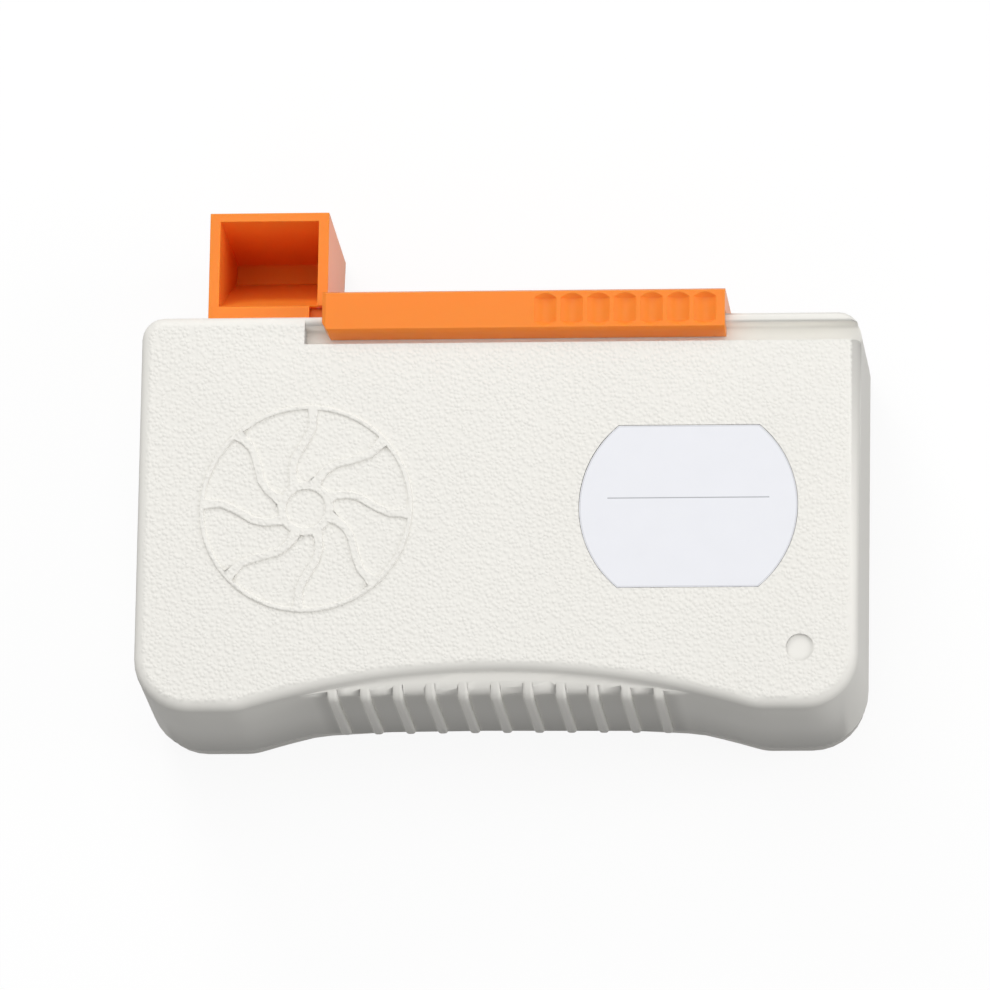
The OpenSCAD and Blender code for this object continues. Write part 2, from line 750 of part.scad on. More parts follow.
// Thumb slider
module thumb_slider() {
    plate_x0 = hood_x1 + seat_gap;
    plate_z0 = tab_z0 - wall;
    chamfer = 0.6;
    // Distance of the first scoop's middle from the slider's right end
    scoop_in = 3.6;
    // Corner cut off the slider's lower left end
    corner = [1.2, 2];
    color("darkorange") difference() {
        union() {
            along_x(slider_x0, slider_x1) polygon([
                [slider_top, hood_z1 + seat_gap], [slider_top, slider_z - slider_bevel],
                [slider_top - slider_bevel / 2, slider_z], [skirt_y + chamfer, slider_z],
                [skirt_y, slider_z - 2 * chamfer], [skirt_y, groove_z + run_gap],
                [rail_y - run_gap, groove_z + run_gap], [rail_y - run_gap, rail_z + run_gap],
                [shutter_y, rail_z + run_gap], [shutter_y, hood_z1 + seat_gap]]);
            box([plate_x0, shutter_y, plate_z0], [slider_x1, slider_top, hood_z1 + seat_gap + weld]);
            box([tab_x0, tab_y, tab_z0], [tab_x0 + tab_l, shutter_y + weld, tab_z1]);
            slider_tongue();
        }
        box([plate_x0 + 2 * wall, shutter_y - cut, tab_z1 + wall],
            [slider_x1 - wall, slider_top - wall, hood_z1 - wall]);
        for (i = [0:scoop_count - 1]) thumb_scoop(slider_x1 - scoop_in - scoop_pitch * i);
        translate([slider_x0, skirt_y, groove_z]) linear_extrude(slider_z) polygon([
            [-corner[0], 2 * corner[1]], [2 * corner[0], -corner[1]], [-corner[0], -corner[1]]]);
        translate([slider_x0, 0, slider_z]) rotate([0, 45, 0])
            cube([slider_bevel, 4 * body_h, slider_bevel], center = true);
        for (x = rack_screw_x)
            rack_rod(x, tab_y - cut, rack_screw_r + shaft_gap, cut + 2 * screw_bite);
    }
}

// One scoop for the thumb: a round hollow that runs out steeply at both ends
module thumb_scoop(x) {
    r = (pow(scoop_w / 2, 2) + scoop_d * scoop_d) / (2 * scoop_d);
    // Distance of the scoop's ends from the slider's upper and lower edges
    margin = 0.8;
    y0 = skirt_y + margin;
    y1 = slider_top - margin;
    translate([x, y0 + scoop_d, slider_z + r - scoop_d]) rotate([-90, 0, 0]) {
        cylinder(r = r, h = y1 - y0 - 2 * scoop_d, $fn = 48);
        translate([0, 0, -scoop_d]) cylinder(r1 = r - scoop_d, r2 = r, h = scoop_d, $fn = 48);
        translate([0, 0, y1 - y0 - 2 * scoop_d])
            cylinder(r1 = r, r2 = r - scoop_d, h = scoop_d, $fn = 48);
    }
}

// Tongue that carries the hood
tongue_l = 5;
tongue_t = 1.5;
tongue_z0 = 12;

module slider_tongue() {
    y = shutter_y + shutter_t + seat_gap;
    box([hood_x1 - tongue_l, y, tongue_z0],
        [hood_x1 + seat_gap + weld, y + tongue_t, hood_z1 - hood_wall - seat_gap]);
}

// Shutter hood: a plate over the window under an open scoop
module shutter_hood() {
    top = top_y + hood_h;
    ceiling = top - hood_plate;
    lip_y = top_y + hood_lip_h;
    back_y = ceiling - hood_back_h;
    back_t = hood_plate;
    lean = 1.4;
    slope = (back_y - lip_y) / (hood_d - back_t - lean);
    under = hood_plate;
    lip_t = hood_wall;
    color("darkorange") difference() {
        along_x(hood_x0, hood_x1) polygon([
            [shutter_y, hood_z0], [shutter_y, hood_z1], [top, hood_z1], [top - hood_fall, hood_z0],
            [back_y - under, hood_z0 + lean], [lip_y - under + slope * lip_t, hood_z1 - lip_t],
            [shutter_y + shutter_t, hood_z1 - lip_t], [shutter_y + shutter_t, hood_z0]]);
        along_x(hood_x0 + hood_wall, hood_x1 - hood_wall) polygon([
            [lip_y, hood_z1 + cut], [ceiling, hood_z1 + cut], [ceiling, hood_z0 + back_t],
            [back_y, hood_z0 + back_t + lean], [lip_y, hood_z1]]);
        tongue_slot();
    }
}

// Slot in the hood's foot that takes the slider's tongue, and the notch in front of it
module tongue_slot() {
    y = shutter_y + shutter_t;
    notch_l = 3.3;
    box([hood_x1 - tongue_l - seat_gap, y, tongue_z0 - seat_gap],
        [hood_x1 + cut, y + tongue_t + 2 * seat_gap, hood_z1 - hood_wall]);
    box([hood_x1 - notch_l, y - shutter_t / 2, hood_z1 - hood_wall - cut],
        [hood_x1 + cut, y + tongue_t + 2 * seat_gap, hood_z1 + cut]);
}

// Rack
rack_screw_r = 0.7;
rack_head_r = 1.25;
// Length of a rack screw inside the tab
screw_bite = 1.1;
rack_screw_x = [tab_x0 + tab_l / 4, tab_x0 + 3 * tab_l / 4];

// Cylinder along Y on the line of a rack screw, from height y
module rack_rod(x, y, r, h) {
    translate([x, y, (tab_z0 + tab_z1) / 2]) rotate([-90, 0, 0]) cylinder(r = r, h = h, $fn = 32);
}

module slider_rack() {
    pitch = PI * gear_m;
    first = -ceil(travel / pitch) - 1;
    color("gainsboro") difference() {
        union() {
            box([pinion_x + (first - 1 / 2) * pitch, rack_low, tab_z0],
                [tab_x0 + tab_l, rack_top, tab_z1]);
            for (i = [first:1]) rack_tooth(pinion_x + (i + 1 / 2) * pitch);
        }
        for (x = rack_screw_x)
            rack_rod(x, rack_low - cut, rack_screw_r + shaft_gap, rack_top - rack_low + 2 * cut);
    }
}

// Tooth of the rack with straight flanks, in the middle at x
module rack_tooth(x) {
    tip = addendum_share * gear_m;
    root = dedendum_share * gear_m;
    half = PI * gear_m / 4 - backlash / 4;
    lean = tan(pressure_angle);
    translate([x, rack_pitch_y, tab_z0]) linear_extrude(tab_z1 - tab_z0)
        polygon([[-half - root * lean, root + weld], [-half - root * lean, root],
                 [-half + tip * lean, -tip], [half - tip * lean, -tip],
                 [half + root * lean, root], [half + root * lean, root + weld]]);
}

module rack_screws() {
    color("dimgray") for (x = rack_screw_x) {
        rack_rod(x, rack_low, rack_screw_r, rack_top - rack_low + screw_bite);
        rack_rod(x, rack_low - rack_screw_r, rack_head_r, rack_screw_r);
    }
}

// Point on the involute of a circle, after a roll in degrees
function involute(base, roll) =
    base * [cos(roll) + roll * PI / 180 * sin(roll), sin(roll) - roll * PI / 180 * cos(roll)];

// Roll in degrees at which the involute reaches a radius
function roll_at(base, r) = sqrt(max(0, pow(r / base, 2) - 1)) * 180 / PI;

// Flat toothed wheel with one tooth centred on an angle
module gear_shape(teeth, phase) {
    pitch_r = gear_m * teeth / 2;
    base = pitch_r * cos(pressure_angle);
    tip_r = pitch_r + addendum_share * gear_m;
    root_r = pitch_r - dedendum_share * gear_m;
    start = max(base, root_r + weld * gear_m);
    half = 90 / teeth - backlash / 4 / pitch_r * 180 / PI;
    at_pitch = involute(base, roll_at(base, pitch_r));
    shift = half + atan2(at_pitch[1], at_pitch[0]);
    steps = 3;
    flank = [for (i = [0:steps]) let (r = start + (tip_r - start) * i / steps)
        involute(base, roll_at(base, r))];
    polygon([for (k = [0:teeth - 1]) each
        let (a = phase + 360 * k / teeth)
        concat(
            [root_r * [cos(a - shift), sin(a - shift)]],
            [for (p = flank) turn(p, a - shift)],
            [for (i = [steps:-1:0]) turn([flank[i][0], -flank[i][1]], a + shift)],
            [root_r * [cos(a + shift), sin(a + shift)]])]);
}

// Point p turned by an angle round the origin
function turn(p, a) = [p[0] * cos(a) - p[1] * sin(a), p[0] * sin(a) + p[1] * cos(a)];

module pinion() {
    color("gainsboro") difference() {
        translate([pinion_x, pinion_y, gear_z]) linear_extrude(gear_t) gear_shape(pinion_teeth, 90);
        rod(pinion_x, pinion_y, pinion_axle_r + shaft_gap, gear_z - cut, gear_z + gear_t + cut);
    }
}

// Drive gear with the hub that the return spring winds on
module drive_gear() {
    hole_r = 3.4;
    hole_at = 12.5;
    color("gainsboro") difference() {
        union() {
            translate([-reel_x, reel_y, gear_z]) linear_extrude(gear_t)
                gear_shape(drive_teeth, drive_phase);
            rod(-reel_x, reel_y, spring_hub_r, floor_t + side_gap, gear_z + weld);
            pawl_boss();
        }
        rod(-reel_x, reel_y, axle_r + shaft_gap, floor_t - cut, gear_z + gear_t + cut);
        for (i = [0:round_holes - 1]) {
            p = at_takeup(hole_at, 360 * (i + 1 / 2) / round_holes);
            rod(p[0], p[1], hole_r, gear_z - cut, gear_z + gear_t + cut);
        }
    }
}

// Spring finger on the drive gear that pushes the ratchet wheel
pawl_r = 18.4;
pawl_angle = -4;
pawl_sweep = 58;

module pawl_boss() {
    p = at_takeup(pawl_r, pawl_angle);
    rod(p[0], p[1], wall / 2, gear_z, pawl_z + pawl_t - seat_gap);
}

module drive_pawl() {
    p = at_takeup(pawl_r, pawl_angle);
    z0 = gear_z + gear_t + seat_gap;
    z1 = pawl_z + pawl_t - 2 * seat_gap;
    color("whitesmoke") difference() {
        union() {
            rod(p[0], p[1], wall / 2 + 2 * leaf_t, z0, z1);
            finger(pawl_r - wall / 2 - leaf_t, pawl_angle, leaf_tip_r, pawl_angle + pawl_sweep,
                   leaf_t, z0, z1);
        }
        rod(p[0], p[1], wall / 2 + shaft_gap, z0 - cut, z1 + cut);
    }
}

// Reels: a hub with its lower flange, an upper flange pressed on it and the roll of tape
neck_r = 4;
// Round holes in a reel's flange and in the drive gear
round_holes = 6;

module reel_hub(x) {
    color("whitesmoke") difference() {
        union() {
            rod(x, reel_y, flange_r, reel_z, reel_z + flange_t);
            rod(x, reel_y, hub_r, reel_z, flange_z - seat_gap);
            rod(x, reel_y, neck_r, reel_z, reel_end);
        }
        rod(x, reel_y, axle_r + shaft_gap, reel_z - cut, reel_end + cut);
        flange_holes(x, reel_z);
    }
}

module reel_flange(x) {
    color("whitesmoke") difference() {
        rod(x, reel_y, flange_r, flange_z, reel_end);
        rod(x, reel_y, neck_r + shaft_gap, flange_z - cut, reel_end + cut);
        flange_holes(x, flange_z);
    }
}

// Ring of round holes through the flange whose lower face is at z
module flange_holes(x, z) {
    hole_r = (flange_r - hub_r) / 4;
    r = (hub_r + flange_r + hole_r) / 2;
    for (i = [0:round_holes - 1]) {
        a = 360 * i / round_holes;
        rod(x + r * cos(a), reel_y + r * sin(a), hole_r, z - cut, z + flange_t + cut);
    }
}

module takeup_hub() {
    reel_hub(-reel_x);
}

module takeup_flange() {
    reel_flange(-reel_x);
}

module takeup_roll() {
    color("lightgray") tube(-reel_x, reel_y, used_r, hub_r + seat_gap, tape_z, tape_z + tape_w);
}

module supply_hub() {
    reel_hub(reel_x);
}

module supply_flange() {
    reel_flange(reel_x);
}

module supply_roll() {
    color("white") tube(reel_x, reel_y, fresh_r, hub_r + seat_gap, tape_z, tape_z + tape_w);
}

// Saw-toothed wheel under the take-up reel
module ratchet_wheel() {
    tooth_d = 1.1;
    z0 = pawl_z;
    color("gainsboro") difference() {
        translate([-reel_x, reel_y, z0]) linear_extrude(reel_z - seat_gap - z0)
            polygon([for (i = [0:ratchet_teeth - 1]) each
                let (a = 360 * i / ratchet_teeth)
                [ratchet_r * [cos(a), sin(a)], (ratchet_r - tooth_d) * [cos(a), sin(a)]]]);
        rod(-reel_x, reel_y, axle_r + shaft_gap, z0 - cut, reel_z + cut);
    }
}

front_shell();
back_cover();
label_plate();
window_frame();
pad_carrier();
cleaning_pad();
cleaning_tape();
guide_pins();
takeup_axle();
supply_axle();
pinion_axle();
case_screws();
anti_reverse_spring();
brake_washer();
return_spring();
thumb_slider();
shutter_hood();
slider_rack();
rack_screws();
pinion();
drive_gear();
drive_pawl();
takeup_hub();
takeup_flange();
ratchet_wheel();
takeup_roll();
supply_hub();
supply_flange();
supply_roll();
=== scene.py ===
"""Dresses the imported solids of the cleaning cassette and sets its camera, light and floor."""

import logging
import math
from collections.abc import Callable, Sequence
from dataclasses import dataclass, field
from enum import Enum

import bmesh
import bpy
from mathutils import Matrix, Vector


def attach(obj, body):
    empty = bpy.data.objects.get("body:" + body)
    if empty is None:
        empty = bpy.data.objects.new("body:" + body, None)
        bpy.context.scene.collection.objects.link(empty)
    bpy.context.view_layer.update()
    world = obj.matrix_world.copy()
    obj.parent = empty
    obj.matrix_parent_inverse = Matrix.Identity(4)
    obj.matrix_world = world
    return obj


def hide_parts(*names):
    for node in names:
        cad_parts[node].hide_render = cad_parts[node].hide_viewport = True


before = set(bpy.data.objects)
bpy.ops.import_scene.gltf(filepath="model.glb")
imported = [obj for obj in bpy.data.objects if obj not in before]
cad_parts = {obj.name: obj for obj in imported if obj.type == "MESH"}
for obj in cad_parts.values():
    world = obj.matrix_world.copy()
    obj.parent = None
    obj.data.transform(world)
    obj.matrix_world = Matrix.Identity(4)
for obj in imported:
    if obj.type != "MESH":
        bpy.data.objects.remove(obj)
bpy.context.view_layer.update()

LOG = logging.getLogger("cassette")
MM = 0.001
Colour = tuple[float, float, float]

# In millimetres, as the patterns use them: the middle of supply reel and label, which the
# take-up reel mirrors, and the spacing and half width of the finger ribs.
REEL_X, REEL_Y = 34.4, 0.35
RIB_PITCH, RIB_HALF = 5.85, 0.95


def linear(red: int, green: int, blue: int) -> Colour:
    """Turn a colour as a screen shows it into the light values that shaders use.

    Args:
        red: Red from 0 to 255.
        green: Green from 0 to 255.
        blue: Blue from 0 to 255.

    Returns:
        The three linear values.
    """
    knee, slope, foot, power = 0.04045, 12.92, 0.055, 2.4
    shares = [part / 255 for part in (red, green, blue)]
    return tuple(
        share / slope if share < knee else ((share + foot) / (1 + foot)) ** power
        for share in shares
    )


class Wire:
    """A shader socket that takes part in Python arithmetic."""

    def __init__(self, graph: "Graph", socket: bpy.types.NodeSocket) -> None:
        """Keep the socket and the graph in which new nodes are made."""
        self.graph = graph
        self.socket = socket

    def __add__(self, other: "Wire | float") -> "Wire":
        """Add."""
        return self.graph.math("ADD", self, other)

    __radd__ = __add__

    def __mul__(self, other: "Wire | float") -> "Wire":
        """Multiply."""
        return self.graph.math("MULTIPLY", self, other)

    def __sub__(self, other: "Wire | float") -> "Wire":
        """Subtract."""
        return self.graph.math("SUBTRACT", self, other)

    def __rsub__(self, other: float) -> "Wire":
        """Subtract this from a number."""
        return self.graph.math("SUBTRACT", other, self)

    def __truediv__(self, other: "Wire | float") -> "Wire":
        """Divide."""
        return self.graph.math("DIVIDE", self, other)

    def __pow__(self, power: float) -> "Wire":
        """Raise to a power."""
        return self.graph.math("POWER", self, power)

    def __abs__(self) -> "Wire":
        """Take the amount without its sign."""
        return self.graph.math("ABSOLUTE", self)

    def least(self, other: "Wire | float") -> "Wire":
        """Take the smaller of two values."""
        return self.graph.math("MINIMUM", self, other)

    def most(self, other: "Wire | float") -> "Wire":
        """Take the larger of two values."""
        return self.graph.math("MAXIMUM", self, other)

    def rise(self, low: float, high: float) -> "Wire":
        """Go smoothly from 0 at low to 1 at high.

        Args:
            low: Value at which the result leaves 0.
            high: Value at which the result reaches 1.

        Returns:
            The smooth step.
        """
        return self.graph.node(
            "ShaderNodeMapRange",
            {"interpolation_type": "SMOOTHSTEP"},
            {"Value": self, "From Min": low, "From Max": high},
        )

    def near(self, value: float, width: float) -> "Wire":
        """Be 1 at a value and fall to 0 at a distance from it.

        Args:
            value: Value at which the result is 1.
            width: Distance at which the result is 0.

        Returns:
            The soft pulse.
        """
        return 1 - abs(self - value).rise(0, width)


class Graph:
    """The node graph of one material or of the world."""

    def __init__(self, owner: bpy.types.Material | bpy.types.World) -> None:
        """Empty the graph of a material or world.

        Args:
            owner: The material or world.
        """
        owner.use_nodes = True
        self.owner = owner
        self.tree = owner.node_tree
        self.tree.nodes.clear()

    def node(
        self,
        kind: str,
        settings: dict[str, object] | None = None,
        values: dict[str | int, object] | None = None,
        out: str | int = 0,
    ) -> Wire:
        """Add a node.

        Args:
            kind: Type of the node.
            settings: Options of the node, set before its sockets.
            values: Numbers, colours or wires for its input sockets.
            out: Output that is returned.

        Returns:
            The wire of the chosen output.
        """
        made = self.tree.nodes.new(kind)
        for key, value in (settings or {}).items():
            setattr(made, key, value)
        for key, value in (values or {}).items():
            socket = made.inputs[key]
            if isinstance(value, Wire):
                self.tree.links.new(value.socket, socket)
            elif socket.type == "RGBA" and len(value) == 3:
                socket.default_value = (*value, 1)
            else:
                socket.default_value = value
        return Wire(self, made.outputs[out])

    def math(self, operation: str, first: "Wire | float", second: "Wire | float" = 0.0) -> Wire:
        """Add a Math node.

        Args:
            operation: Operation of the node.
            first: First value.
            second: Second value.

        Returns:
            The wire of the result.
        """
        return self.node("ShaderNodeMath", {"operation": operation}, {0: first, 1: second})

    def place(self) -> Wire:
        """Return the point on the piece, in metres."""
        return self.node("ShaderNodeTexCoord", out="Object")

    def axes(self) -> tuple[Wire, Wire, Wire]:
        """Split the point on the piece into its distances along the axes.

        Returns:
            The wires of X, Y and Z in millimetres.
        """
        split = self.node("ShaderNodeSeparateXYZ", values={0: self.place()})
        outputs = split.socket.node.outputs
        return tuple(Wire(self, outputs[axis]) * (1 / MM) for axis in "XYZ")

    def noise(
        self,
        size: float,
        detail: float = 2.0,
        roughness: float = 0.5,
        place: Wire | None = None,
        out: str | int = 0,
    ) -> Wire:
        """Add a cloudy pattern.

        Args:
            size: Width of a cloud in metres.
            detail: Number of finer layers.
            roughness: Strength of the finer layers.
            place: Point at which the pattern is read, the point on the piece if left out.
            out: Output that is returned.

        Returns:
            The wire of the pattern, from 0 to 1.
        """
        values = {
            "Vector": place or self.place(),
            "Scale": 1 / size,
            "Detail": detail,
            "Roughness": roughness,
        }
        return self.node("ShaderNodeTexNoise", values=values, out=out)

    def mix(self, share: "Wire | float", first: "Wire | Colour", second: "Wire | Colour") -> Wire:
        """Mix two colours.

        Args:
            share: Share of the second colour.
            first: First colour.
            second: Second colour.

        Returns:
            The wire of the mixed colour.
        """
        return self.node(
            "ShaderNodeMix", {"data_type": "RGBA"}, {0: share, 6: first, 7: second}, out=2
        )

    def bump(self, height: Wire, depth: float) -> Wire:
        """Turn a height pattern into a bumped normal.

        Args:
            height: Pattern from 0 to 1.
            depth: Height in metres of a pattern value of 1.

        Returns:
            The wire of the normal.
        """
        return self.node("ShaderNodeBump", values={"Height": height, "Distance": depth})

    def surface(self, **sockets: object) -> None:
        """End the graph in a shader with the given sockets.

        Args:
            **sockets: Values or wires by the shader's socket names, with _ for a space.
        """
        values = {key.replace("_", " "): value for key, value in sockets.items()}
        self.finish(self.node("ShaderNodeBsdfPrincipled", values=values))

    def finish(self, shader: Wire, kind: str = "ShaderNodeOutputMaterial") -> None:
        """Send a shader to the output of the material or world."""
        output = self.tree.nodes.new(kind)
        self.tree.links.new(shader.socket, output.inputs["Surface"])

    def backdrop_rays(self) -> Wire:
        """Mark the rays that show the white background.

        Returns:
            The wire, 1 for rays of the camera and for those a glossy or clear surface sends on.
        """
        rays = ("Is Camera Ray", "Is Glossy Ray", "Is Transmission Ray")
        seen, gloss, clear = (self.node("ShaderNodeLightPath", out=ray) for ray in rays)
        return (seen + gloss + clear).least(1.0)


@dataclass(frozen=True)
class Finish:
    """Smooth moulded plastic, on which the other finishes build."""

    slot: str
    colour: Colour
    roughness: float = 0.4
    cloud: float = 9 * MM
    grain: float = 0.25 * MM
    grain_depth: float = 0.004 * MM
    grain_layers: float = 3
    rough_spread: float = 0.12
    darker: float = 0.94

    def material(self, name: str) -> bpy.types.Material:
        """Make the material.

        Args:
            name: Name of the material.

        Returns:
            The material.
        """
        graph = Graph(bpy.data.materials.new(name))
        self.paint(graph)
        return graph.owner

    def tint(self, graph: Graph, share: Wire) -> Wire:
        """Vary the colour between itself and a darker shade.

        Args:
            graph: Graph of the material.
            share: Share of the darker shade.

        Returns:
            The wire of the colour.
        """
        return graph.mix(share, self.colour, tuple(part * self.darker for part in self.colour))

    def worn(self, pattern: Wire) -> Wire:
        """Vary the roughness about its middle by a pattern from 0 to 1."""
        return self.roughness + (pattern - 0.5) * self.rough_spread

    def fine_bump(self, graph: Graph) -> Wire:
        """Return the normal of a surface with the finish's finest grain."""
        return graph.bump(graph.noise(self.grain, self.grain_layers), self.grain_depth)

    def paint(self, graph: Graph) -> None:
        """Build the material's nodes.

        Args:
            graph: Graph of the material.
        """
        cloud = graph.noise(self.cloud)
        graph.surface(
            Base_Color=self.tint(graph, cloud),
            Roughness=self.worn(cloud),
            Normal=self.fine_bump(graph),
        )


@dataclass(frozen=True)
class ShellFinish(Finish):
    """Ivory housing: leather grain on the face inside a smooth margin, satin walls, with painted
    shade in the grain's creases and between the grip's ribs.

    Places and distances on the housing are in millimetres, as Graph.axes gives them.
    """

    cloud: float = 26 * MM
    rough_spread: float = 0.05
    darker: float = 0.95
    shine: float = 0.15
    cell: float = 0.78 * MM
    cell_depth: float = 0.15 * MM
    cell_jitter: float = 0.9
    warp_size: float = 3
    warp_reach: float = 0.9
    crease: tuple[float, float] = (0.05, 0.75)
    crease_height: float = 0.75
    crease_shade_tint: float = 0.35
    mottle: float = 1.7 * MM
    mottle_roughness: float = 0.6
    mottle_height: float = 0.6
    cloud_tint: float = 0.6
    face_rough: float = 0.04
    face_from: tuple[float, float] = (34.6, 34.8)
    half_l: float = 65.0
    low_y: float = -36.7
    top_y: float = 36.7
    corner_r: float = 10.0
    arch_cy: float = -184.6
    arch_r: float = 155.0
    margin: tuple[float, float] = (1.0, 2.2)
    rib_pitch: float = RIB_PITCH
    # Where and how strongly shade is painted into the gaps between the finger ribs.
    rib_to_gap: tuple[float, float] = (RIB_HALF - 0.15, RIB_HALF + 0.5)
    gaps_end: tuple[float, float] = (31.0, 33.5)
    gaps_top: tuple[float, float] = (29.5, 32.5)
    gaps_back: tuple[float, float] = (-27.0, -26.0)
    gap_shade_share: float = 0.55
    gap_shade_factor: float = 0.6

    def painted_gap_shade(self, graph: Graph) -> Wire:
        """Mark the gaps of the grip, which get painted shade: a darker colour than the ribs.

        Args:
            graph: Graph of the material.

        Returns:
            The wire of the mark.
        """
        x, y, z = graph.axes()
        off = abs(x - graph.math("ROUND", x / self.rib_pitch) * self.rib_pitch)
        beside = 1 - abs(x).rise(*self.gaps_end)
        below = 1 - z.rise(*self.gaps_top)
        outside = 1 - y.rise(*self.gaps_back)
        return off.rise(*self.rib_to_gap) * beside * below * outside

    def from_edge(self, graph: Graph) -> Wire:
        """Measure how far a point of the face lies inside the housing's outline.

        Args:
            graph: Graph of the material.

        Returns:
            The wire of the distance in millimetres.
        """
        x, y, _ = graph.axes()
        out_x = (abs(x) - (self.half_l - self.corner_r)).most(0)
        out_y = ((self.low_y + self.corner_r) - y).most(0)
        corner = self.corner_r - (out_x * out_x + out_y * out_y) ** 0.5
        rise = y - self.arch_cy
        arch = (x * x + rise * rise) ** 0.5 - self.arch_r
        return corner.least(arch).least(self.top_y - y)

    def creases(self, graph: Graph) -> Wire:
        """Draw the leather grain's cells: 1 in their middles, 0 in the creases.

        Args:
            graph: Graph of the material.

        Returns:
            The wire of the pattern.
        """
        warp = graph.noise(self.warp_size * self.cell, out="Color")
        bent = graph.node(
            "ShaderNodeVectorMath",
            {"operation": "MULTIPLY_ADD"},
            {0: warp, 1: (self.warp_reach * self.cell,) * 3, 2: graph.place()},
        )
        cells = graph.node(
            "ShaderNodeTexVoronoi",
            {"feature": "F1"},
            {"Vector": bent, "Scale": 1 / self.cell, "Randomness": self.cell_jitter},
        )
        return 1 - cells.rise(*self.crease)

    def paint(self, graph: Graph) -> None:
        """Build the material's nodes.

        Args:
            graph: Graph of the material.
        """
        _, _, z = graph.axes()
        on_face = z.rise(*self.face_from) * self.from_edge(graph).rise(*self.margin)
        creases = self.creases(graph)
        mottle = graph.noise(self.mottle, self.grain_layers, self.mottle_roughness)
        grain = (creases * self.crease_height + mottle * self.mottle_height) * on_face
        satin = graph.noise(self.grain) * (1 - on_face)
        height = grain + satin * (self.grain_depth / self.cell_depth)
        cloud = graph.noise(self.cloud)
        # Random cloudy tone, plus painted shade in the grain's creases.
        in_crease = (1 - creases) * on_face
        tone_and_crease_shade = cloud * self.cloud_tint + in_crease * self.crease_shade_tint
        graph.surface(
            Base_Color=graph.mix(
                # Painted shade in the gaps between the finger ribs.
                self.painted_gap_shade(graph) * self.gap_shade_share,
                self.tint(graph, tone_and_crease_shade),
                tuple(part * self.gap_shade_factor for part in self.colour),
            ),
            Roughness=self.worn(cloud) + on_face * self.face_rough,
            Normal=graph.bump(height, self.cell_depth),
            Specular_IOR_Level=self.shine,
        )


@dataclass(frozen=True)
class GlossFinish(Finish):
    """Glossy orange moulding that glows a little through its edges."""

    cloud: float = 14 * MM
    grain_layers: float = 2
    rough_spread: float = 0.03
    darker: float = 0.97
    shine: float = 0.12
    glow: float = 0.35
    glow_reach: float = 3.5 * MM
    glow_colour: Colour = (1.0, 0.5, 0.14)

    def paint(self, graph: Graph) -> None:
        """Build the material's nodes.

        Args:
            graph: Graph of the material.
        """
        flow = graph.noise(self.cloud)
        graph.surface(
            Base_Color=self.tint(graph, flow),
            Roughness=self.worn(flow),
            Normal=self.fine_bump(graph),
            Subsurface_Weight=self.glow,
            Subsurface_Radius=self.glow_colour,
            Subsurface_Scale=self.glow_reach,
            Specular_IOR_Level=self.shine,
        )


@dataclass(frozen=True)
class LabelFinish(Finish):
    """Cool white label film with a painted shadow line along its edge and one rule, drawn in
    millimetres.
    """

    cloud: float = 5 * MM
    grain_layers: float = 2
    rough_spread: float = 0.06
    darker: float = 0.975
    middle: tuple[float, float] = (REEL_X, REEL_Y)
    radius: float = 19.6
    flat: float = 15.0
    # Where the painted shadow line along the label's edge lies, and how strong it is.
    line_in: float = 0.2
    line_w: float = 0.15
    edge_shadow_share: float = 0.4
    rule_y: float = 1.55
    rule_w: float = 0.165
    rule_ends: tuple[float, float] = (14.5, 14.55)
    rule_share: float = 0.85
    edge_shadow_grey: Colour = linear(150, 152, 158)
    rule_ink: Colour = linear(120, 122, 128)

    def paint(self, graph: Graph) -> None:
        """Build the material's nodes.

        Args:
            graph: Graph of the material.
        """
        x, y, _ = graph.axes()
        over = x - self.middle[0]
        up = y - self.middle[1]
        inside = (self.radius - (over * over + up * up) ** 0.5).least(self.flat - abs(up))
        # A grey line just inside the label's edge: painted shadow of the pocket's edge.
        outline = inside.near(self.line_in, self.line_w)
        rule = up.near(self.rule_y, self.rule_w) * (1 - abs(over).rise(*self.rule_ends))
        film = graph.noise(self.cloud)
        drawn = graph.mix(outline * self.edge_shadow_share, self.tint(graph, film), self.edge_shadow_grey)
        graph.surface(
            Base_Color=graph.mix(rule * self.rule_share, drawn, self.rule_ink),
            Roughness=self.worn(film),
            Normal=self.fine_bump(graph),
        )


@dataclass(frozen=True)
class SteelFinish(Finish):
    """Turned steel with fine lines round Z."""

    rough_spread: float = 0.2
    darker: float = 0.8
    line: float = 0.12 * MM
    stretch: tuple[float, float, float] = (0.04, 0.04, 1.0)

    def paint(self, graph: Graph) -> None:
        """Build the material's nodes.

        Args:
            graph: Graph of the material.
        """
        drawn_out = graph.node(
            "ShaderNodeMapping", values={"Vector": graph.place(), "Scale": self.stretch}
        )
        lines = graph.noise(self.line, self.grain_layers, place=drawn_out)
        graph.surface(
            Base_Color=self.tint(graph, lines),
            Metallic=1.0,
            Roughness=self.worn(lines),
            Normal=graph.bump(lines, self.grain_depth),
        )


